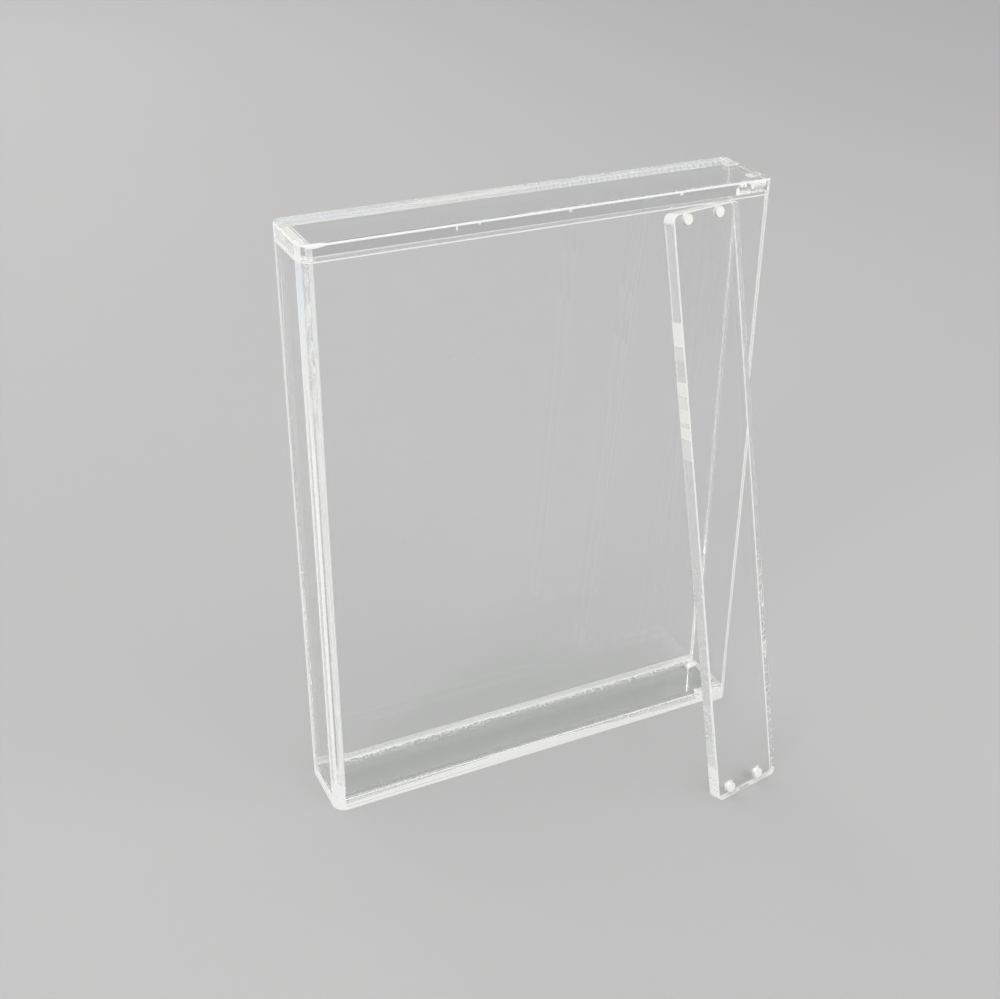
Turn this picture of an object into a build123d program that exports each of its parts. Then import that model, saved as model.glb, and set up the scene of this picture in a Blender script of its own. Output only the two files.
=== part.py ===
from build123d import *
import os
from math import cos, hypot, radians, sin

# A clear display case for one boxed video game: five sheets bonded into a sleeve that is open at one
# end, and a loose end lid that holds to the open end by small magnets sunk in its inner face.
# Frame: X runs from the closed end to the open end, Y from the front to the back, Z is up.
# The origin is the centre of the base plate's underside. Sizes are in millimetres and degrees.

# Room inside for the game box
room_length = 136.0
room_height = 174.0
room_depth = 15.4

# Sheets and their edges
sheet = 4.5
closed_corner_radius = 4.0
closed_corner_land = 0.4
open_corner_radius = 1.5
lid_corner_radius = 2.0
edge_break = 0.3
seam_break = 0.22

# Magnets, in pairs that face each other when the lid is on
magnet_diameter = 3.0
case_magnet_length = 4.0
lid_magnet_length = 2.5
magnet_spacing = 11.8
magnet_edge_break = 0.15
glue_film = 0.05

# Where the lid stands: it leans back on the front of the case, turned a little to the right
lid_foot_x = 38.7
lid_turn = 10.2
lid_lean = 12.3
lid_rest_gap = 0.05
lid_floor_gap = 0.06

# Sizes that follow
width = room_length + sheet
height = room_height + 2 * sheet
depth = room_depth + 2 * sheet
closed_corner = min(closed_corner_radius, sheet - closed_corner_land)
pocket_radius = magnet_diameter / 2 + glue_film
magnet_offsets = (-magnet_spacing / 2, magnet_spacing / 2)


def box_between(low, high):
    """A box given by its low and high corners."""
    size = [high[i] - low[i] for i in range(3)]
    middle = [(high[i] + low[i]) / 2 for i in range(3)]
    return Pos(*middle) * Box(*size)


def case_block(low, high, low_break, high_break):
    """The case's plan outline from one height to another, with its upper and lower rims broken."""
    outline = Rectangle(width, depth)
    closed_side = outline.vertices().group_by(Axis.X)[0]
    outline = fillet(closed_side, closed_corner)
    open_side = outline.vertices().group_by(Axis.X)[-1]
    outline = fillet(open_side, open_corner_radius)
    block = extrude(Pos(0, 0, low) * outline, high - low)
    block = chamfer(block.faces().sort_by(Axis.Z)[-1].edges(), high_break)
    return chamfer(block.faces().sort_by(Axis.Z)[0].edges(), low_break)


def case_magnet_places(level):
    """Where the two magnets of one plate meet its open end, looking out along X."""
    return [Pos(width / 2, offset, level) * Rot(0, 90, 0) for offset in magnet_offsets]


def lid_magnet_places():
    """Where the lid's four magnets meet its inner face, looking out of that face."""
    levels = (sheet / 2, height - sheet / 2)
    return {
        (side, end): Pos(depth / 2 + offset, 0, level) * Rot(-90, 0, 0)
        for side, offset in zip(("left", "right"), magnet_offsets)
        for end, level in zip(("bottom", "top"), levels)
    }


def pocket(length):
    """A blind hole from its mouth inwards, with room for the glue round the magnet and behind it."""
    hole_depth = length + glue_film
    return Pos(0, 0, -hole_depth / 2) * Cylinder(pocket_radius, hole_depth)


def magnet(length):
    """A plated disc or rod whose outer face is flush with the mouth of its pocket."""
    rod = Pos(0, 0, -length / 2) * Cylinder(magnet_diameter / 2, length)
    return chamfer(rod.edges().filter_by(GeomType.CIRCLE), magnet_edge_break)


def end_plate(low, high, low_break, high_break):
    """The top or bottom plate: the full outline, with two magnet pockets in its open end."""
    plate = case_block(low, high, low_break, high_break)
    for place in case_magnet_places((low + high) / 2):
        plate -= place * pocket(case_magnet_length)
    return plate


def walls():
    """The three upright sheets, cut from one block so that their outsides run flush."""
    block = case_block(sheet, height - sheet, seam_break, seam_break)
    half_width = width / 2
    half_depth = depth / 2
    inner = half_depth - sheet
    front = block & box_between(
        (-half_width, -half_depth, sheet), (half_width, -inner, height - sheet)
    )
    mouth_edges = front.edges().filter_by(Axis.Z).group_by(Axis.X)[-1]
    front = chamfer(mouth_edges, edge_break)
    side = block & box_between(
        (-half_width, -inner, sheet), (-half_width + sheet, inner, height - sheet)
    )
    return front, mirror(front, about=Plane.XZ), side


def lid_plate():
    """The end lid in its own frame: inner face at Y = 0, left foot corner at the origin."""
    outline = Pos(depth / 2, height / 2) * Rectangle(depth, height)
    outline = fillet(outline.vertices(), lid_corner_radius)
    plate = extrude(Rot(90, 0, 0) * outline, sheet)
    plate = chamfer(plate.faces().sort_by(Axis.Y)[-1].edges(), edge_break)
    plate = chamfer(plate.faces().sort_by(Axis.Y)[0].edges(), edge_break)
    for place in lid_magnet_places().values():
        plate -= place * pocket(lid_magnet_length)
    return plate


def lid_place():
    """How the lid stands: foot on the table, upper right corner a hair from the front panel."""
    turn = radians(lid_turn)
    lean = radians(lid_lean)
    across = sin(turn)
    upward = sin(lean) * cos(turn)
    inner_rounding = lid_corner_radius - edge_break
    reach = (depth - lid_corner_radius) * across + (height - lid_corner_radius) * upward
    reach += inner_rounding * hypot(across, upward)
    foot_y = -depth / 2 - lid_rest_gap - reach
    foot_z = -edge_break * sin(lean)
    return Pos(lid_foot_x, foot_y, foot_z) * Rot(0, 0, lid_turn) * Rot(-lid_lean, 0, 0)


def tipping_line(place):
    """The line the lid tips forward on, from leaning on the case to flat on the table.

    It lies in the lid's bottom edge, as far above the table as it is behind the outer face."""
    lean = radians(lid_lean)
    back = (sheet + lid_floor_gap + edge_break * sin(lean)) / (1 + sin(lean))
    start = (place * Pos(0, -back, 0)).position
    end = (place * Pos(depth, -back, 0)).position
    return start, (end - start).normalized()


def build():
    """Every piece by its node name."""
    front, rear, side = walls()
    nodes = {
        "bottom_plate": end_plate(0, sheet, edge_break, seam_break),
        "top_plate": end_plate(height - sheet, height, seam_break, edge_break),
        "front_panel": front,
        "rear_panel": rear,
        "side_panel": side,
    }
    for end, level in (("bottom", sheet / 2), ("top", height - sheet / 2)):
        for side_name, place in zip(("front", "rear"), case_magnet_places(level)):
            nodes[f"case_magnet_{end}_{side_name}"] = place * magnet(case_magnet_length)
    standing = lid_place()
    nodes["end_lid"] = standing * lid_plate()
    for (side_name, end), place in lid_magnet_places().items():
        nodes[f"lid_magnet_{end}_{side_name}"] = standing * place * magnet(lid_magnet_length)
    return nodes


os.makedirs("parts", exist_ok=True)
for name, shape in build().items():
    shape.label = name
    export_step(shape, f"parts/{name}.step")

line_start, line_axis = tipping_line(lid_place())
print(f"outside {width:.1f} x {depth:.1f} x {height:.1f}")
print("lid tips on a line through", tuple(round(v, 3) for v in line_start))
print("along", tuple(round(v, 6) for v in line_axis), "from 0 to", round(90 + lid_lean, 2))
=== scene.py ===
import math
import random

import bpy
from mathutils import Matrix, Vector


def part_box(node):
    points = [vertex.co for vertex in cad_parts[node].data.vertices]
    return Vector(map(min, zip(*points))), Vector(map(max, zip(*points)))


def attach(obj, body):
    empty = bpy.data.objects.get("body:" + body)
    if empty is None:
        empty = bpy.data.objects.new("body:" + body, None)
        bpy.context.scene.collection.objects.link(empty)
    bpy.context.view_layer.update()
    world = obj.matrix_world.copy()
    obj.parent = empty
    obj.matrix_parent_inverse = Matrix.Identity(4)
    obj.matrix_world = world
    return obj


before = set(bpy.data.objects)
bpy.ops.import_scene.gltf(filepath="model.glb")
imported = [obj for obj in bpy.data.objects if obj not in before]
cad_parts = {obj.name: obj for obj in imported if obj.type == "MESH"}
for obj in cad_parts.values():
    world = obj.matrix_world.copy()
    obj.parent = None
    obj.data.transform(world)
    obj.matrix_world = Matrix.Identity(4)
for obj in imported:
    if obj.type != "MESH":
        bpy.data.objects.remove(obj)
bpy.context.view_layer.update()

# A clear display case bonded from five sheets, with its loose lid leant on the front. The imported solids
# get their finishes here, and the dried glue and cement are added to them. Lengths are in metres.

scene = bpy.context.scene
mm = 0.001

# Sizes that the frame gives
plate_low, plate_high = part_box("top_plate")
roof_level, height = plate_low.z, plate_high.z
half_width, half_depth = plate_high.x, plate_high.y
sheet = height - roof_level
base_level = sheet
inner_depth = half_depth - sheet
side_inner_x = -half_width + sheet
plate_levels = (sheet / 2, height - sheet / 2)

# Sizes that it doesn't give, as the pieces were cut
edge_break = 0.3 * mm
closed_corner = 4 * mm
open_corner = 1.5 * mm
lid_corner = 2 * mm
magnet_radius = 1.5 * mm
magnet_offset = 5.9 * mm
case_magnet_length = 4 * mm
lid_magnet_length = 2.5 * mm
glue_film = 0.05 * mm
lid_turn = math.radians(10.2)
lid_lean = math.radians(12.3)

# A point this near to a level counts as on it
hair = 0.02 * mm

# What every piece of clear plastic shares
clear_tone = (0.985, 0.987, 0.987, 1)
dimmed = (0.93, 0.935, 0.93, 1)
refraction = 1.49
skin_relief = 0.02 * mm


def nodes_of(material):
    """An empty node tree."""
    material.use_nodes = True
    tree = material.node_tree
    tree.nodes.clear()
    return tree


def put(tree, kind, inputs=None, **settings):
    """A node with its settings, and its inputs linked from a socket or set to a value."""
    node = tree.nodes.new(kind)
    for name, value in settings.items():
        setattr(node, name, value)
    for key, value in (inputs or {}).items():
        socket = node.inputs[key]
        if isinstance(value, bpy.types.NodeSocket):
            tree.links.new(value, socket)
        else:
            socket.default_value = value
    return node


def sums(tree, operation, *values):
    """One arithmetic step."""
    node = put(tree, "ShaderNodeMath", dict(enumerate(values)), operation=operation)
    return node.outputs[0]


def either(tree, *masks):
    """The largest of the masks."""
    found = masks[0]
    for mask in masks[1:]:
        found = sums(tree, "MAXIMUM", found, mask)
    return found


def both(tree, *masks):
    """All of the masks at once."""
    found = masks[0]
    for mask in masks[1:]:
        found = sums(tree, "MULTIPLY", found, mask)
    return found


def outside(tree, mask):
    """Where the mask isn't."""
    return sums(tree, "SUBTRACT", 1.0, mask)


def near(tree, value, target, reach):
    """1 where the value is within reach of the target."""
    return sums(tree, "COMPARE", value, target, reach)


def over(tree, value, limit):
    return sums(tree, "GREATER_THAN", value, limit)


def under(tree, value, limit):
    return sums(tree, "LESS_THAN", value, limit)


def spread(tree, value, low, high, to_low=0.0, to_high=1.0):
    """Stretches a value from one range to another, and clamps it."""
    limits = {"Value": value, "From Min": low, "From Max": high, "To Min": to_low, "To Max": to_high}
    return put(tree, "ShaderNodeMapRange", limits, clamp=True).outputs[0]


def between(tree, value, low, high, soft=0.1 * mm):
    """1 from low to high, with soft ends."""
    rise = spread(tree, value, low - soft, low + soft)
    fall = spread(tree, value, high - soft, high + soft, 1.0, 0.0)
    return both(tree, rise, fall)


def oval(tree, across, along, centre, radii, soft=0.25):
    """1 inside an oval in the plane of two axes. soft is a share of its radii."""
    first = sums(tree, "DIVIDE", sums(tree, "SUBTRACT", across, centre[0]), radii[0])
    second = sums(tree, "DIVIDE", sums(tree, "SUBTRACT", along, centre[1]), radii[1])
    squares = sums(tree, "ADD", both(tree, first, first), both(tree, second, second))
    return spread(tree, sums(tree, "SQRT", squares), 1 - soft, 1 + soft, 1.0, 0.0)


def axes_of(tree, vector):
    """The three parts of a vector."""
    found = put(tree, "ShaderNodeSeparateXYZ", {"Vector": vector}).outputs
    return [found[axis] for axis in "XYZ"]


def noise(tree, at, scale, detail=2.0, stretch=(1, 1, 1), turn=(0, 0, 0)):
    """Smooth noise with a mean of a half. scale is in waves to the metre."""
    at = put(tree, "ShaderNodeMapping", {"Vector": at, "Rotation": turn}).outputs[0]
    at = put(tree, "ShaderNodeMapping", {"Vector": at, "Scale": stretch}).outputs[0]
    return put(tree, "ShaderNodeTexNoise", {"Vector": at, "Scale": scale, "Detail": detail}).outputs["Fac"]


def from_speck(tree, at, scale):
    """How far the nearest of many scattered specks is, in widths of a speck's own cell."""
    return put(tree, "ShaderNodeTexVoronoi", {"Vector": at, "Scale": scale}).outputs["Distance"]


def tint(tree, share, plain, other):
    """A colour between two, each a socket or three numbers."""
    ends = [c if isinstance(c, bpy.types.NodeSocket) else (*c, 1) for c in (plain, other)]
    mixed = put(tree, "ShaderNodeMix", {0: share, 6: ends[0], 7: ends[1]}, data_type="RGBA")
    return mixed.outputs[2]


def blended(tree, share, plain, other):
    """A surface between two."""
    return put(tree, "ShaderNodeMixShader", {0: share, 1: plain, 2: other}).outputs[0]


def white_scatter(tree, colour, through_share=0.3):
    """Frosted plastic: it scatters light to both sides."""
    front = put(tree, "ShaderNodeBsdfDiffuse", {"Color": colour})
    through = put(tree, "ShaderNodeBsdfTranslucent", {"Color": colour})
    return blended(tree, through_share, front.outputs[0], through.outputs[0])


def clear_plastic(tree, rough, relief, strength):
    """Clear plastic whose skin is as rough, and has as much relief, as is asked."""
    bump = put(tree, "ShaderNodeBump", {"Height": relief, "Distance": skin_relief, "Strength": strength})
    inputs = {
        "Base Color": clear_tone,
        "Roughness": rough,
        "IOR": refraction,
        "Transmission Weight": 1.0,
        "Normal": bump.outputs[0],
    }
    return put(tree, "ShaderNodeBsdfPrincipled", inputs).outputs[0]


def lets_through(tree, skin, *ray_kinds):
    """Lets rays of these kinds straight through, a little dimmed."""
    paths = put(tree, "ShaderNodeLightPath").outputs
    shade = put(tree, "ShaderNodeBsdfTransparent", {"Color": dimmed}).outputs[0]
    for kind in ray_kinds:
        skin = blended(tree, paths[kind], skin, shade)
    return skin


def opaque(tree, colour, rough, relief, distance, strength, **inputs):
    """The whole surface of a piece that isn't clear."""
    bump = put(tree, "ShaderNodeBump", {"Height": relief, "Distance": distance, "Strength": strength})
    inputs = {name.replace("_", " "): value for name, value in inputs.items()}
    inputs |= {"Base Color": colour, "Roughness": rough, "Normal": bump.outputs[0]}
    body = put(tree, "ShaderNodeBsdfPrincipled", inputs)
    put(tree, "ShaderNodeOutputMaterial", {"Surface": body.outputs[0]})


def acrylic(name, turn_in, bonds, finish):
    """Clear cast acrylic. turn_in takes a point or a normal into the piece's own frame. bonds says where
    cement joins two pieces and how hazy it is there, finish how frosted, rough and streaked the skin is."""
    material = bpy.data.materials.new(name)
    tree = nodes_of(material)
    coords = put(tree, "ShaderNodeTexCoord").outputs
    at = turn_in(tree, coords["Object"], True)
    normal = axes_of(tree, turn_in(tree, coords["Normal"], False))
    x, y, z = axes_of(tree, at)
    joined, haze, bond_colour = bonds(tree, at, x, y, z)
    frosted, colour, rough, streaks, ridge = finish(tree, at, x, y, z, normal)

    dust = spread(tree, from_speck(tree, at, 210), 0.028, 0.04, 0.4, 0.0)
    frosted = either(tree, frosted, dust)
    skin = blended(tree, frosted, clear_plastic(tree, rough, streaks, ridge), white_scatter(tree, colour))
    # Light on its way from a lamp, or from a pale surface, goes straight through a sheet.
    lit = lets_through(tree, skin, "Is Shadow Ray", "Is Diffuse Ray")
    clear = put(tree, "ShaderNodeBsdfTransparent", {"Color": (1, 1, 1, 1)})
    seam = blended(tree, haze, clear.outputs[0], white_scatter(tree, bond_colour, 0.15))
    put(tree, "ShaderNodeOutputMaterial", {"Surface": blended(tree, joined, lit, seam)})
    return material


def case_frame(tree, vector, is_point):
    """The case stands in the frame itself."""
    return vector


def lid_frame(tree, vector, is_point):
    """The lid's own frame has its inner face at Y = 0 and its left foot corner at the origin."""
    start = lid_foot if is_point else (0, 0, 0)
    settings = {"Vector": vector, "Location": start, "Rotation": (-lid_lean, 0, lid_turn)}
    return put(tree, "ShaderNodeMapping", settings, vector_type="TEXTURE").outputs[0]


def pockets(tree, across, z):
    """1 inside the line of a magnet pocket."""
    radius = magnet_radius + glue_film + hair
    found = [
        oval(tree, across, z, (magnet_offset, level), (radius, radius), 0.0001) for level in plate_levels
    ]
    return either(tree, *found)


def wall_ends(tree, z):
    """The ends of the upright sheets, which stand on the base plate and carry the top plate."""
    return either(tree, near(tree, z, base_level, hair), near(tree, z, roof_level, hair))


def wall_bonds(tree, at, x, y, z):
    """The walls' own side of every joint: the ends on the plates and the two beside the side panel. The
    cloudy cement is on the plates' side, and on the side panel's, so that no joint has it twice."""
    aside = sums(tree, "ABSOLUTE", y)
    at_side = both(tree, near(tree, aside, inner_depth, hair), under(tree, x, side_inner_x))
    return either(tree, wall_ends(tree, z), at_side), 0.0, (0.95, 0.94, 0.925, 1)


def side_bonds(tree, at, x, y, z):
    """The side panel's joints. Cement ran down the two upright ones in streaks, less so at the foot."""
    aside = sums(tree, "ABSOLUTE", y)
    upright = near(tree, aside, inner_depth, hair)
    flow = spread(tree, noise(tree, at, 900, 2, (1, 1, 0.06)), 0.52, 0.7, 0.14, 0.4)
    flow = both(tree, flow, spread(tree, z, 60 * mm, 120 * mm, 0.08, 1.0))
    return either(tree, wall_ends(tree, z), upright), both(tree, upright, flow), (0.95, 0.94, 0.925, 1)


def reflected_squares(tree, x, y):
    """Painted reflection: 1 off the lines in the cloud under the roof's rear rim, which stand for the open
    end's edges seen again and again inside the rear panel. One line runs along its middle. Past halfway
    slanting lines cross it too, and make two rows of squares that are longer at the open end."""
    # The first and last square's length and the stretch that they cover, in millimetres
    first, last, stretch = 1.3, 2.35, 63
    slid = sums(tree, "SUBTRACT", x, both(tree, y, 0.476))
    length = spread(tree, slid, 0.0, stretch * mm, first, last)
    # Where a length grows evenly, the count of squares grows with its logarithm.
    growth = (last - first) / stretch
    square_count = sums(tree, "DIVIDE", sums(tree, "LOGARITHM", length, math.e), growth)
    row_count = sums(tree, "DIVIDE", sums(tree, "SUBTRACT", y, 0.95 * mm), 2.25 * mm)
    at = put(tree, "ShaderNodeCombineXYZ", {"X": square_count, "Y": row_count, "Z": 0.0}).outputs[0]
    settings = {
        "Vector": at,
        "Color1": (1, 1, 1, 1),
        "Color2": (0.85, 0.85, 0.85, 1),
        "Mortar": (0, 0, 0, 1),
        "Scale": 1.0,
        "Mortar Size": 0.09,
        "Mortar Smooth": 0.2,
        "Brick Width": 1.0,
        "Row Height": 1.0,
    }
    return put(tree, "ShaderNodeTexBrick", settings, offset=0.0).outputs["Color"]


def plate_bonds(tree, at, x, y, z):
    """The footprints of the walls on a plate, and its magnet pockets. The cement dried cloudy under the
    roof's rear and closed rims and under the rear panel's foot. Under the rear rim the bright cloud is
    partly a painted reflection, with cool and warm halves and lines of squares."""
    aside = sums(tree, "ABSOLUTE", y)
    at_foot = near(tree, z, base_level, hair)
    at_roof = near(tree, z, roof_level, hair)
    footprint = either(tree, over(tree, aside, inner_depth), under(tree, x, side_inner_x))
    pocket_floor = half_width - case_magnet_length - glue_film
    in_depth = both(tree, over(tree, x, pocket_floor - hair), under(tree, x, half_width - hair / 2))
    in_pocket = both(tree, pockets(tree, aside, z), in_depth)

    behind = over(tree, y, inner_depth)
    rear_foot = both(tree, at_foot, behind)
    rear_roof = both(tree, at_roof, behind)
    side_roof = both(tree, at_roof, under(tree, x, side_inner_x), outside(tree, behind))
    cloud = spread(tree, noise(tree, at, 260, 3), 0.3, 0.75)
    fine = noise(tree, at, 1400, 2, (0.08, 1, 1))
    rear_cloud_and_reflection = both(tree, rear_roof, spread(tree, fine, 0.3, 0.7, 0.95, 1.0))
    side_cloud = both(tree, side_roof, spread(tree, cloud, 0.0, 1.0, 0.86, 0.98))
    clear_line = between(tree, x, side_inner_x - 0.75 * mm, side_inner_x - 0.35 * mm, 0.06 * mm)
    side_cloud = both(tree, side_cloud, outside(tree, both(tree, clear_line, 0.9)))
    bubbles = both(tree, rear_foot, spread(tree, noise(tree, at, 2200, 3), 0.52, 0.58), 0.8)
    foot_cloud = both(tree, rear_foot, spread(tree, y, inner_depth, inner_depth + 1.8 * mm, 0.75, 0.42))
    haze = either(tree, rear_cloud_and_reflection, side_cloud, bubbles, foot_cloud, both(tree, cloud, 0.02))
    haze = both(tree, haze, outside(tree, in_pocket))

    # Painted reflection: under the rear rim one half of the cloud is tinted cool and the other warm, the
    # tints of reflected light. They change sides in the middle stretch.
    middle_stretch = between(tree, x, -32 * mm, 2 * mm, 6 * mm)
    outer_half = spread(tree, y, 9.6 * mm, 10.3 * mm)
    cool = sums(tree, "ABSOLUTE", sums(tree, "SUBTRACT", outer_half, middle_stretch))
    colour = tint(tree, both(tree, rear_roof, cool), (0.99, 0.965, 0.925), (0.89, 0.92, 0.99))
    # Painted reflection: lavender-grey lines of squares in the cloud, fainter towards the closed end.
    broken = spread(tree, x, -50 * mm, 15 * mm, 0.4, 1.0)
    lines = both(tree, rear_roof, broken, outside(tree, reflected_squares(tree, x, y)))
    colour = tint(tree, lines, colour, (0.56, 0.55, 0.58))
    return either(tree, both(tree, either(tree, at_foot, at_roof), footprint), in_pocket), haze, colour


def lid_bonds(tree, at, x, y, z):
    """The four magnet pockets in the lid's inner face."""
    aside = sums(tree, "ABSOLUTE", sums(tree, "SUBTRACT", x, lid_size.x / 2))
    in_depth = both(tree, under(tree, y, -hair / 2), over(tree, y, -lid_magnet_length - glue_film - hair))
    return both(tree, pockets(tree, aside, z), in_depth), 0.0, (0.95, 0.95, 0.94, 1)


def scraped_rims(tree, lean, grain):
    """The broken edges, which slant between two faces, are scraped white."""
    slanting = both(tree, over(tree, lean, 0.3), under(tree, lean, 0.9))
    return both(tree, slanting, spread(tree, grain, 0.2, 0.5, 0.9, 1.0))


def painted_base_light(tree, at, x, z, upright):
    """Painted light: the base plate's edge is frosted white from below, up to a line that is highest in the
    middle and at both ends, where light reflected inside the base shows.
    """
    rise = spread(tree, x, -66 * mm, -15 * mm, 2.7 * mm, 4.2 * mm)
    fall = spread(tree, x, 5 * mm, 48 * mm, 0.0, 2.2 * mm)
    ends = either(tree, under(tree, x, -half_width + 1.5 * mm), spread(tree, x, 58 * mm, 62 * mm))
    crest = either(tree, sums(tree, "SUBTRACT", rise, fall), both(tree, ends, 4.4 * mm))
    low = spread(tree, sums(tree, "SUBTRACT", z, crest), -0.1 * mm, 0.1 * mm, 1.0, 0.0)
    hairline = between(tree, z, 1.4 * mm, 1.6 * mm, 0.06 * mm)
    hairline = both(tree, hairline, spread(tree, x, -30 * mm, -10 * mm, 0.7, 0.0))
    hatch = spread(tree, noise(tree, at, 900, 2, (1, 1, 0.15), (0, 0.6, 0)), 0.35, 0.65, 0.92, 1.0)
    return both(tree, upright, low, under(tree, z, 4.35 * mm), outside(tree, hairline), hatch)


def crept_film(tree, at, x, y, z):
    """Cement that crept out from under the rear panel etched the base in dots and short ticks."""
    reach = 4 * mm
    inside_rear = both(tree, over(tree, y, inner_depth - reach), under(tree, y, inner_depth))
    creep = spread(tree, y, inner_depth - reach, inner_depth - 0.4 * mm)
    dot_size = spread(tree, creep, 0.0, 1.0, 0.26, 0.6)
    dots = spread(tree, sums(tree, "SUBTRACT", dot_size, from_speck(tree, at, 1000)), -0.07, 0.07)
    dots = both(tree, dots, spread(tree, creep, 0.0, 1.0, 0.14, 0.78))
    ticks = sums(tree, "ADD", noise(tree, at, 1100, 2, (1, 0.1, 1)), both(tree, creep, 0.3))
    ticks = both(tree, spread(tree, ticks, 0.75, 0.81), over(tree, x, 5 * mm), 0.7)
    return both(tree, near(tree, z, base_level, hair), inside_rear, either(tree, dots, ticks))


def closed_corners(tree, at, x, aside, z, upright, grain):
    """The closed corners are frosted in upright strips and at the foot. The outermost strip is a
    little blue high up. Returns the frost and the blue."""
    inward = -half_width + closed_corner
    rounded = both(tree, upright, under(tree, x, inward), over(tree, aside, half_depth - closed_corner))
    # How far round the corner a point is, from 0 at the large panel to 1 at the closed side
    bend = spread(tree, x, -half_width, inward, 1.0, 0.0)
    outermost = between(tree, bend, 0.77, 1.1, 0.02)
    waves = spread(tree, noise(tree, at, 700, 2, (1, 1, 0.22)), 0.42, 0.6, 0.1, 0.6)
    strands = spread(tree, noise(tree, at, 1100, 2, (1, 1, 0.02)), 0.35, 0.65, 0.42, 0.6)
    high_strips = either(
        tree,
        both(tree, outermost, 0.78),
        both(tree, between(tree, bend, 0.42, 0.74, 0.03), waves),
        both(tree, between(tree, bend, 0.12, 0.4, 0.03), 0.45),
    )
    low_strips = either(
        tree,
        between(tree, bend, 0.96, 1.1, 0.01),
        between(tree, bend, 0.7, 0.88, 0.015),
        both(tree, between(tree, bend, 0.2, 0.6, 0.02), strands),
    )
    above = spread(tree, z, 124 * mm, 146 * mm)
    low_strips = both(tree, low_strips, outside(tree, above))
    strips = sums(tree, "ADD", both(tree, high_strips, above), low_strips)
    climb = sums(tree, "ADD", z, both(tree, sums(tree, "SUBTRACT", grain, 0.5), 6 * mm))
    foot = both(tree, over(tree, bend, 0.2), spread(tree, climb, 9 * mm, 14 * mm, 1.0, 0.0))
    blue_heights = both(tree, spread(tree, z, 145 * mm, 172 * mm), under(tree, z, roof_level))
    return both(tree, rounded, either(tree, strips, foot)), both(tree, rounded, blue_heights, outermost)


def closed_side(tree, at, x, y, z, upright):
    """Light that runs down the rear corner comes out on the closed side, beside the corner, and is painted
    there as a straight frosted band. The roof's edge is a little milky there."""
    band = both(tree, under(tree, x, -half_width + 0.45 * mm), between(tree, y, 6.9 * mm, 10.4 * mm))
    band = both(tree, band, spread(tree, z, 40 * mm, 130 * mm, 0.95, 0.6))
    milky = both(tree, under(tree, x, -half_width + 0.05 * mm), over(tree, z, roof_level + 0.1 * mm))
    milky = both(tree, milky, spread(tree, noise(tree, at, 300, 3), 0.3, 0.7, 0.15, 0.45))
    return both(tree, upright, either(tree, band, milky))


def highlight_ovals_and_chips(tree, x, y, z, upright, level):
    """At the closed front corner long white ovals on the roof and the front are painted highlights, a
    lamp's reflection in the rounded edges. Small chips are along the front's top edge."""
    highlight_on_top = either(
        tree,
        oval(tree, x, y, (-66.9 * mm, -11.6 * mm), (3.4 * mm, 0.7 * mm)),
        oval(tree, x, y, (-69.6 * mm, -9.0 * mm), (0.7 * mm, 3.2 * mm)),
    )
    highlight_on_top = both(tree, highlight_on_top, level, over(tree, z, height - 0.1 * mm))
    highlight_on_front = oval(tree, x, z, (-66.7 * mm, 182.6 * mm), (3.2 * mm, 0.5 * mm))
    front = both(tree, upright, under(tree, y, -half_depth + 0.5 * mm))
    painted_highlight = either(tree, highlight_on_top, both(tree, highlight_on_front, front))
    # Place along the front, height, half length and half height of each, in millimetres
    chips = [
        oval(tree, x, z, (place * mm, up * mm), (wide * mm, tall * mm), 0.3)
        for place, up, wide, tall in (
            (-27.6, 182.0, 0.28, 0.75),
            (-21.1, 182.3, 0.30, 0.35),
            (5.6, 182.2, 0.40, 0.50),
            (40.2, 182.3, 0.60, 0.45),
            (37.0, 178.8, 0.35, 0.30),
        )
    ]
    return either(tree, both(tree, painted_highlight, 0.95), both(tree, front, either(tree, *chips), 0.85))


def smudges(tree, at, scale, least):
    """Faint smears that dull the polish."""
    return both(tree, spread(tree, noise(tree, at, scale, 4), least, 0.75), 0.02)


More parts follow.
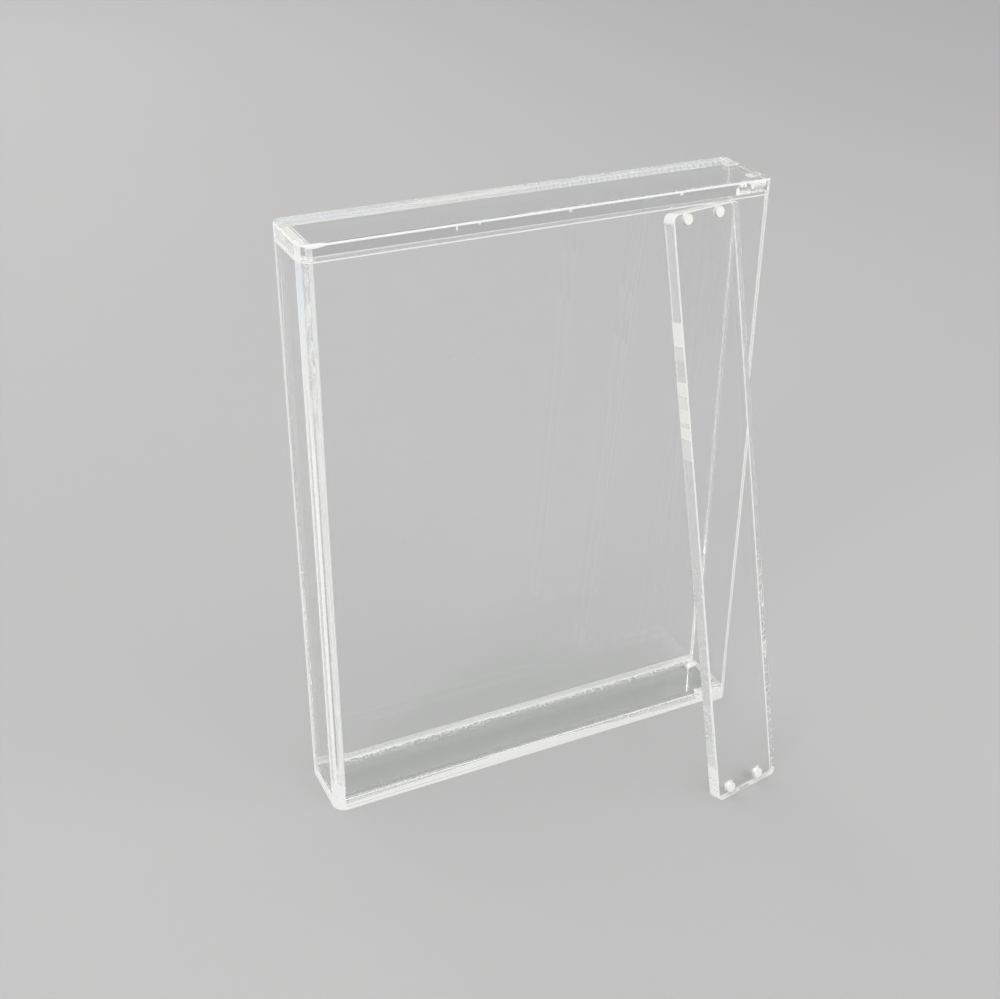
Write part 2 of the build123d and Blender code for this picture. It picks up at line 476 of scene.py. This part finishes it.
def case_finish(tree, at, x, y, z, normal):
    """Scraped rims, the base plate's edge frosted as painted light, corners frosted in strips, painted
    highlights at the closed front corner, and small marks on polished faces.
    """
    lean_x, lean_y, lean_z = (sums(tree, "ABSOLUTE", part) for part in normal)
    aside = sums(tree, "ABSOLUTE", y)
    upright = under(tree, lean_z, 0.3)
    level = over(tree, lean_z, 0.9)
    grain = noise(tree, at, 700, 3)
    rims = scraped_rims(tree, lean_z, grain)
    # The broken edges of the open end run straight up.
    scraped = edge_break + 0.01 * mm
    mouth = both(
        tree,
        over(tree, x, half_width - scraped),
        over(tree, lean_x, 0.6),
        over(tree, lean_y, 0.6),
        under(tree, aside, inner_depth + scraped),
    )
    # Scraping ran a little past the rim on the front and on the closed side of the roof.
    top_edge = between(tree, z, height - 0.5 * mm, height, 0.08 * mm)
    crown = both(tree, upright, under(tree, y, 0.0), top_edge, 0.95)
    # Painted light: the base plate's edge shows light reflected inside the base.
    base_edge_light = painted_base_light(tree, at, x, z, upright)
    etched = both(tree, level, crept_film(tree, at, x, y, z))
    corners, blue = closed_corners(tree, at, x, aside, z, upright, grain)
    painted_light_and_milky_side = closed_side(tree, at, x, y, z, upright)
    # Painted highlights at the closed front corner, and chips along the front's top edge.
    marks = highlight_ovals_and_chips(tree, x, y, z, upright, level)
    # The roof's corners at the open end are dulled by sanding.
    at_open_end = both(tree, upright, over(tree, x, half_width - open_corner), over(tree, z, roof_level))
    dulled = both(tree, at_open_end, over(tree, aside, half_depth - open_corner), 0.5)
    frosted = either(tree, rims, mouth, crown, base_edge_light, etched, corners, painted_light_and_milky_side, marks, dulled)

    colour = tint(tree, blue, (0.96, 0.96, 0.955), (0.88, 0.91, 0.95))
    rough = either(tree, both(tree, frosted, 0.4), smudges(tree, at, 38, 0.52))
    streaks = noise(tree, at, 2600, 2, (1, 1, 0.015), (0, 0.12, 0))
    ridge = both(tree, either(tree, rims, base_edge_light), 0.15)
    return frosted, colour, rough, streaks, ridge


# Heights from the foot on the lid's left face, in millimetres, and how frosted each stretch is. The
# stretches from 118.8 to 153.2 mm are painted reflections of the surroundings.
lid_frost_and_reflection_stretches = [
    (-1.0, 11.3, 0.96),
    (11.3, 21.0, 0.34),
    (21.0, 35.0, 0.14),
    (35.0, 112.5, 0.04),
    (112.5, 118.8, 0.4),
    (118.8, 122.6, 0.93),
    (122.6, 123.6, 0.5),
    (123.6, 128.0, 0.88),
    (128.0, 131.5, 0.6),
    (131.5, 136.0, 0.85),
    (136.0, 142.0, 0.1),
    (142.0, 146.0, 0.42),
    (146.0, 153.2, 0.92),
    (153.2, 180.6, 0.22),
    (180.6, 184.0, 0.97),
]


def lid_left_face(tree, at, z, streaks, slant):
    """The left face is frosted in stretches, some of them painted reflections, streaked by the saw low down
    and nicked near the foot.
    """
    patches = [
        both(tree, between(tree, z, low * mm, high * mm, 0.35 * mm), share)
        for low, high, share in lid_frost_and_reflection_stretches
    ]
    white_foot = 11.3 * mm
    saw = spread(tree, streaks, 0.56, 0.68)
    saw = both(tree, saw, over(tree, z, white_foot), spread(tree, z, 34 * mm, 75 * mm, 0.75, 0.0))
    nicks = spread(tree, noise(tree, at, 2300, 2, (1, 0.13, 1), slant), 0.55, 0.6)
    nicks = both(tree, nicks, between(tree, z, 3.5 * mm, 8 * mm, 1.2 * mm), 0.8)
    return both(tree, either(tree, saw, *patches), outside(tree, nicks))


def lid_finish(tree, at, x, y, z, normal):
    """Scraped rims, and narrow faces that keep the saw's slanting streaks, with frosted patches. Some
    patches on the left face are painted reflections.
    """
    lean_y = sums(tree, "ABSOLUTE", normal[1])
    rims = scraped_rims(tree, lean_y, noise(tree, at, 700, 3))
    narrow = under(tree, lean_y, 0.2)
    near_edge = 0.8 * mm
    left = both(tree, narrow, under(tree, x, near_edge))
    right = both(tree, narrow, over(tree, x, lid_size.x - near_edge))
    foot = both(tree, narrow, under(tree, z, near_edge))
    head = both(tree, narrow, over(tree, z, lid_size.z - near_edge))

    slant = (math.radians(35), 0, 0)
    streaks = noise(tree, at, 1100, 3, (1, 0.12, 1), slant)
    left_frost_and_reflection = both(tree, left, lid_left_face(tree, at, z, streaks, slant))
    sawn_low = spread(tree, z, 60 * mm, 95 * mm, 1.0, 0.1)
    ticks = spread(tree, noise(tree, at, 2400, 2, (1, 0.16, 1), slant), 0.56, 0.62)
    right_frost = both(tree, right, either(tree, both(tree, ticks, sawn_low, 0.65), 0.14))
    # The foot is frosted but for a stretch in its middle.
    clear_stretch = both(tree, between(tree, x, 8 * mm, 14 * mm, 0.8 * mm), 0.65)
    foot_frost = both(tree, foot, outside(tree, clear_stretch), 0.95)
    from_middle = sums(tree, "ABSOLUTE", sums(tree, "SUBTRACT", x, lid_size.x / 2))
    by_side = over(tree, from_middle, lid_size.x / 2 - lid_corner)
    low_corners = both(tree, by_side, under(tree, z, lid_corner), 0.92)
    high_corner = both(tree, under(tree, x, lid_corner), over(tree, z, lid_size.z - lid_corner), 0.95)
    corners = both(tree, narrow, either(tree, low_corners, high_corner))
    frosted = either(tree, rims, left_frost_and_reflection, right_frost, foot_frost, both(tree, head, 0.5), corners)

    # Painted reflection: a warm tint on the left face over the reflected stretches.
    warm = both(tree, left, between(tree, z, 119 * mm, 136 * mm, 2 * mm))
    colour = tint(tree, warm, (0.95, 0.95, 0.945), (0.95, 0.925, 0.88))
    rough = either(
        tree,
        both(tree, frosted, 0.4),
        both(tree, left, 0.1),
        both(tree, right, sawn_low, 0.12),
        smudges(tree, at, 45, 0.5),
    )
    ridge = both(tree, either(tree, left, right), sawn_low, 0.3)
    return frosted, colour, rough, streaks, ridge


def nickel(name):
    """Bright nickel plate: barrel-plated, so finely pitted and blotched."""
    material = bpy.data.materials.new(name)
    tree = nodes_of(material)
    at = put(tree, "ShaderNodeTexCoord").outputs["Object"]
    blotch = spread(tree, noise(tree, at, 900, 3), 0.35, 0.7)
    colour = tint(tree, blotch, (0.93, 0.915, 0.885), (0.83, 0.81, 0.775))
    rough = spread(tree, noise(tree, at, 2500, 2), 0.3, 0.7, 0.26, 0.42)
    opaque(tree, colour, rough, noise(tree, at, 9000, 3), 0.004 * mm, 0.5, Metallic=1.0)
    return material


def dried_glue(name):
    """Cured glue, warm white and full of small voids."""
    material = bpy.data.materials.new(name)
    tree = nodes_of(material)
    at = put(tree, "ShaderNodeTexCoord").outputs["Object"]
    voids = spread(tree, noise(tree, at, 2600, 3), 0.55, 0.7)
    colour = tint(tree, voids, (0.96, 0.95, 0.925), (0.78, 0.76, 0.71))
    rough = spread(tree, noise(tree, at, 1800, 2), 0.3, 0.7, 0.3, 0.6)
    opaque(tree, colour, rough, noise(tree, at, 3500, 3), skin_relief, 0.6)
    return material


def set_cement(name):
    """Cement that has set in the open: clear, with a milky, pitted skin."""
    material = bpy.data.materials.new(name)
    tree = nodes_of(material)
    at = put(tree, "ShaderNodeTexCoord").outputs["Object"]
    rough = spread(tree, noise(tree, at, 800, 2), 0.3, 0.7, 0.05, 0.3)
    body = clear_plastic(tree, rough, noise(tree, at, 2400, 3), 0.5)
    milk = spread(tree, noise(tree, at, 1300, 3), 0.3, 0.5, 0.6, 1.0)
    skin = blended(tree, milk, body, white_scatter(tree, (0.95, 0.95, 0.945, 1)))
    lit = lets_through(tree, skin, "Is Shadow Ray")
    put(tree, "ShaderNodeOutputMaterial", {"Surface": lit})
    return material


def find_lid():
    """Where the lid's own frame starts, how big the lid is and how it is turned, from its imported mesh."""
    turn = Matrix.Rotation(lid_turn, 3, "Z") @ Matrix.Rotation(-lid_lean, 3, "X")
    points = [turn.transposed() @ v.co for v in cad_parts["end_lid"].data.vertices]
    low = Vector([min(p[i] for p in points) for i in range(3)])
    high = Vector([max(p[i] for p in points) for i in range(3)])
    return turn @ Vector((low.x, high.y, low.z)), high - low, turn


lid_foot, lid_size, lid_axes = find_lid()
plate_acrylic = acrylic("clear_acrylic_plates", case_frame, plate_bonds, case_finish)
wall_acrylic = acrylic("clear_acrylic_walls", case_frame, wall_bonds, case_finish)
side_acrylic = acrylic("clear_acrylic_side", case_frame, side_bonds, case_finish)
lid_acrylic = acrylic("clear_acrylic_lid", lid_frame, lid_bonds, lid_finish)
plating = nickel("nickel_plate")
glue = dried_glue("dried_magnet_glue")
cement = set_cement("set_cement")
for name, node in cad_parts.items():
    if "magnet" in name:
        node.material_slots[0].material = plating
    elif name == "end_lid":
        node.material_slots[0].material = lid_acrylic
    elif name == "side_panel":
        node.material_slots[0].material = side_acrylic
    elif name.endswith("plate"):
        node.material_slots[0].material = plate_acrylic
    else:
        node.material_slots[0].material = wall_acrylic


def pick(piece, chosen, mode="VERT"):
    """Opens the piece in edit mode with only those vertices or faces selected that pass a test."""
    bpy.ops.object.mode_set(mode="EDIT")
    bpy.ops.mesh.select_mode(type=mode)
    bpy.ops.mesh.select_all(action="DESELECT")
    bpy.ops.object.mode_set(mode="OBJECT")
    parts = piece.data.vertices if mode == "VERT" else piece.data.polygons
    for part in parts:
        part.select = chosen(part)
    bpy.ops.object.mode_set(mode="EDIT")


def leave():
    """Back to object mode."""
    bpy.ops.object.mode_set(mode="OBJECT")


def move(piece, index, offset):
    """Moves one vertex."""
    pick(piece, lambda v: v.index == index)
    bpy.ops.transform.translate(value=offset)
    leave()


def select_only(*pieces):
    """Selects these pieces, with the first as the active one."""
    bpy.ops.object.select_all(action="DESELECT")
    for piece in pieces:
        piece.select_set(True)
    bpy.context.view_layer.objects.active = pieces[0]


def thicken(piece, name, thickness, offset):
    """Gives a film its thickness: outwards with an offset of 1, inwards with -1."""
    wall = piece.modifiers.new(name, "SOLIDIFY")
    wall.thickness = thickness
    wall.offset = offset
    bpy.ops.object.modifier_apply(modifier=wall.name)


def finished(piece, name, body, material, place=None):
    """Names a piece, puts its place into its mesh, and gives it its finish and its body."""
    piece.name = name
    if place is not None:
        piece.matrix_world = place @ piece.matrix_world
    select_only(piece)
    bpy.ops.object.transform_apply(location=True, rotation=True, scale=True)
    piece.data.materials.clear()
    piece.data.materials.append(material)
    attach(piece, body)


def glue_cup(length, seed, start, step):
    """Glue behind a magnet and up its side in ragged tongues. The pocket's mouth is at Z = 0, its floor
    below. start and step say how high the tongues begin and how much they vary, as shares of the side."""
    draw = random.Random(seed)
    floor_level = -length - glue_film + 0.002 * mm
    low_rim = 0.25 * mm
    bpy.ops.object.select_all(action="DESELECT")
    bpy.ops.mesh.primitive_cylinder_add(
        vertices=40,
        radius=magnet_radius + glue_film - 0.003 * mm,
        depth=low_rim,
        location=(0, 0, floor_level + low_rim / 2),
    )
    cup = bpy.context.object
    bpy.ops.object.transform_apply(location=True)
    pick(cup, lambda face: face.normal.z > 0.9, "FACE")
    bpy.ops.mesh.delete(type="FACE")
    leave()
    pick(cup, lambda face: face.normal.z < -0.9, "FACE")
    bpy.ops.mesh.inset(thickness=0.5 * mm)
    bpy.ops.mesh.inset(thickness=0.5 * mm)
    leave()
    rim = [v.index for v in cup.data.vertices if v.co.z > floor_level + low_rim / 2]
    reach = length - low_rim - 0.15 * mm
    climb = start
    for index in rim:
        climb = min(max(climb + draw.uniform(-step, step), 0.02), 1.0)
        move(cup, index, (0, 0, reach * climb * climb))
    thicken(cup, "film", 0.04 * mm, -1)
    bpy.ops.object.shade_smooth_by_angle(angle=math.radians(40))
    return cup


def glue_skirt(seed):
    """Glue pressed out round a magnet's mouth: a thin ring that ends in ragged spikes."""
    draw = random.Random(seed)
    film = 0.04 * mm
    bpy.ops.object.select_all(action="DESELECT")
    bpy.ops.mesh.primitive_circle_add(vertices=44, radius=1.4 * mm, location=(0, 0, 0.003 * mm))
    skirt = bpy.context.object
    bpy.ops.object.transform_apply(location=True)
    pick(skirt, lambda v: True)
    bpy.ops.mesh.extrude_region_move()
    bpy.ops.transform.resize(value=(1.18, 1.18, 1))
    leave()
    edge = [v.index for v in skirt.data.vertices if v.co.xy.length > magnet_radius]
    for index in edge:
        out = skirt.data.vertices[index].co.xy.normalized()
        spike = draw.uniform(0.3, 0.85) * mm if draw.random() < 0.3 else draw.uniform(-0.06, 0.08) * mm
        move(skirt, index, (out.x * spike, out.y * spike, 0))
    thicken(skirt, "film", film, 1)
    # The film may have grown down into the lid, which depends on the ring's direction.
    if min(v.co.z for v in skirt.data.vertices) < 0:
        pick(skirt, lambda v: True)
        bpy.ops.transform.translate(value=(0, 0, film + 0.002 * mm))
        leave()
    return skirt


def joined_to(piece, added):
    """Joins a second piece into the first."""
    select_only(piece, added)
    bpy.ops.object.join()
    return piece


def copy_of(piece):
    """A copy with its own mesh."""
    twin = piece.copy()
    twin.data = piece.data.copy()
    scene.collection.objects.link(twin)
    return twin


def glue_magnets():
    """One cup of glue for each pocket, each copy turned another way."""
    case_cup = glue_cup(case_magnet_length, 5, 0.85, 0.45)
    lid_cups = {
        "bottom": joined_to(glue_cup(lid_magnet_length, 11, 0.6, 0.6), glue_skirt(14)),
        "top": glue_cup(lid_magnet_length, 12, 0.1, 0.12),
    }
    outward = Matrix.Rotation(math.radians(90), 4, "Y")
    inward = Matrix.Rotation(math.radians(-90), 4, "X")
    turned = 0
    next_turn = 70
    for end, level in zip(("bottom", "top"), plate_levels):
        for side, offset in zip(("front", "rear"), (-magnet_offset, magnet_offset)):
            spin = Matrix.Rotation(math.radians(turned), 4, "Z")
            place = Matrix.Translation((half_width, offset, level)) @ outward @ spin
            finished(copy_of(case_cup), f"glue_case_{end}_{side}", "case", glue, place)
            turned += next_turn
        for side, offset in zip(("left", "right"), (-magnet_offset, magnet_offset)):
            spin = Matrix.Rotation(math.radians(turned), 4, "Z")
            in_lid = Matrix.Translation((lid_size.x / 2 + offset, 0, level)) @ inward @ spin
            place = Matrix.Translation(lid_foot) @ lid_axes.to_4x4() @ in_lid
            finished(copy_of(lid_cups[end]), f"glue_lid_{end}_{side}", "lid", glue, place)
            turned += next_turn
    for cup in (case_cup, *lid_cups.values()):
        bpy.data.objects.remove(cup)


def cement_run():
    """Cement that ran out from under the rear panel, over the base inside, in a thin ragged line."""
    draw = random.Random(21)
    start_x, end_x = side_inner_x + 0.2 * mm, half_width - 1.2 * mm
    run_width = 0.3 * mm
    run_y = inner_depth - run_width / 2 - 0.01 * mm
    bpy.ops.object.select_all(action="DESELECT")
    bpy.ops.mesh.primitive_grid_add(x_subdivisions=150, y_subdivisions=3, size=1)
    run = bpy.context.object
    run.scale = (end_x - start_x, run_width, 1)
    run.location = ((start_x + end_x) / 2, run_y, base_level + 0.045 * mm)
    bpy.ops.object.transform_apply(location=True, scale=True)
    front_y = min(v.co.y for v in run.data.vertices)
    front_row = [v for v in run.data.vertices if v.co.y < front_y + hair]
    fringe = [v.index for v in sorted(front_row, key=lambda v: v.co.x)]
    drip = 0.0
    for index in fringe:
        drip = draw.uniform(0.15, 0.5) * mm if draw.random() < 0.22 else drip * 0.3
        move(run, index, (draw.uniform(-0.15, 0.15) * mm, -drip, 0))
    thicken(run, "body", 0.04 * mm, -1)
    rounding = run.modifiers.new("rounding", "SUBSURF")
    rounding.levels = rounding.render_levels = 1
    bpy.ops.object.modifier_apply(modifier=rounding.name)
    bpy.ops.object.shade_smooth_by_angle(angle=math.radians(50))
    finished(run, "cement_run_rear_foot", "case", cement)


def cement_bubbles():
    """Bubbles caught in the run-out cement, modelled once, copied and joined."""
    draw = random.Random(33)
    bpy.ops.object.select_all(action="DESELECT")
    bpy.ops.mesh.primitive_uv_sphere_add(segments=8, ring_count=6, radius=1)
    bubble = bpy.context.object
    pick(bubble, lambda v: v.co.z < -0.3)
    bpy.ops.transform.resize(value=(1, 1, 0.35))
    leave()
    bpy.ops.object.shade_smooth()
    crowd = []
    for _ in range(64):
        twin = copy_of(bubble)
        size = draw.uniform(0.07, 0.2) * mm
        reach = draw.uniform(0.3, 1.5) * mm
        place = (
            draw.uniform(side_inner_x + 1 * mm, half_width - 2 * mm),
            inner_depth - reach,
            base_level + 0.065 * mm + size * 0.3,
        )
        twin.matrix_world = Matrix.Translation(place) @ Matrix.Diagonal((size, size, size * 0.5, 1))
        crowd.append(twin)
    bpy.data.objects.remove(bubble)
    select_only(*crowd)
    bpy.ops.object.transform_apply(location=True, rotation=True, scale=True)
    bpy.ops.object.join()
    finished(bpy.context.object, "cement_bubbles_rear_foot", "case", cement)


glue_magnets()
cement_run()
cement_bubbles()


def camera():
    """The photograph's own viewpoint, fitted to the case's edges."""
    lens = bpy.data.cameras.new("photo_camera")
    lens.sensor_fit = "HORIZONTAL"
    lens.sensor_width = 36
    lens.lens = 50.98
    lens.clip_start = 0.01
    lens.clip_end = 30
    eye = Vector((-0.16942, -0.33477, 0.30069))
    ahead = Vector((0.37624, 0.78517, -0.49189)).normalized()
    right = Vector((0.90305, -0.42950, 0.00514))
    up = right.cross(ahead).normalized()
    right = ahead.cross(up).normalized()
    found = bpy.data.objects.new("photo_camera", lens)
    turn = Matrix((right, up, -ahead)).transposed()
    found.matrix_world = Matrix.Translation(eye) @ turn.to_4x4()
    scene.collection.objects.link(found)
    scene.camera = found


def softbox(name, place, aim, size, power, seen_through=True):
    """A large soft lamp that the camera doesn't see. seen_through says whether it shows in the sheets."""
    lamp = bpy.data.lights.new(name, "AREA")
    lamp.shape = "RECTANGLE"
    lamp.size, lamp.size_y = size
    lamp.energy = power
    found = bpy.data.objects.new(name, lamp)
    found.location = place
    found.rotation_euler = (Vector(aim) - Vector(place)).to_track_quat("-Z", "Y").to_euler()
    found.visible_camera = False
    found.visible_transmission = seen_through
    scene.collection.objects.link(found)


def pale_floor():
    """A plain floor. Far from the case, where the lamps don't reach, it takes the tone of the sky."""
    bpy.ops.object.select_all(action="DESELECT")
    bpy.ops.mesh.primitive_plane_add(size=12, location=(0, 0, -0.1 * mm))
    floor = bpy.context.object
    floor.name = "floor"
    material = bpy.data.materials.new("pale_floor")
    tree = nodes_of(material)
    body = put(tree, "ShaderNodeBsdfDiffuse", {"Color": (0.5, 0.5, 0.495, 1)})
    far = put(tree, "ShaderNodeEmission", {"Color": (0.49, 0.49, 0.49, 1)})
    place = put(tree, "ShaderNodeTexCoord").outputs["Object"]
    away = put(tree, "ShaderNodeVectorMath", {0: place}, operation="LENGTH").outputs["Value"]
    paths = put(tree, "ShaderNodeLightPath").outputs
    seen = either(tree, paths["Is Camera Ray"], paths["Is Glossy Ray"], paths["Is Transmission Ray"])
    share = both(tree, seen, spread(tree, away, 0.6, 2.2))
    surface = blended(tree, share, body.outputs[0], far.outputs[0])
    put(tree, "ShaderNodeOutputMaterial", {"Surface": surface})
    floor.data.materials.append(material)


def studio_sky():
    """Pale even light from all round, lighter at the horizon."""
    world = bpy.data.worlds.new("studio")
    scene.world = world
    tree = nodes_of(world)
    direction = put(tree, "ShaderNodeTexCoord").outputs["Generated"]
    ramp = put(tree, "ShaderNodeValToRGB", {"Fac": axes_of(tree, direction)[2]})
    ramp.color_ramp.elements[0].color = (0.8, 0.8, 0.8, 1)
    ramp.color_ramp.elements[1].color = (0.6, 0.61, 0.62, 1)
    back = put(tree, "ShaderNodeBackground", {"Color": ramp.outputs[0], "Strength": 0.6})
    put(tree, "ShaderNodeOutputWorld", {"Surface": back.outputs[0]})


camera()
pale_floor()
studio_sky()
softbox("top_softbox", (0.0, 0.15, 1.6), (0, 0, 0.05), (1.1, 0.8), 3.0)
softbox("left_softbox", (-1.55, -0.85, 0.78), (0, 0, 0.08), (0.4, 1.3), 20.0)
softbox("right_softbox", (1.1, -1.2, 1.2), (0, 0, 0.1), (1.6, 1.6), 20.0, False)
softbox("back_softbox", (-0.35, 1.65, 1.0), (0, 0, 0.1), (1.3, 0.5), 14.0)

# Light runs down inside the sheets by many small reflections, so paths may be long.
scene.cycles.max_bounces = 96
scene.cycles.transmission_bounces = 96
scene.cycles.glossy_bounces = 96
scene.cycles.transparent_max_bounces = 64

scene.view_settings.view_transform = "Standard"
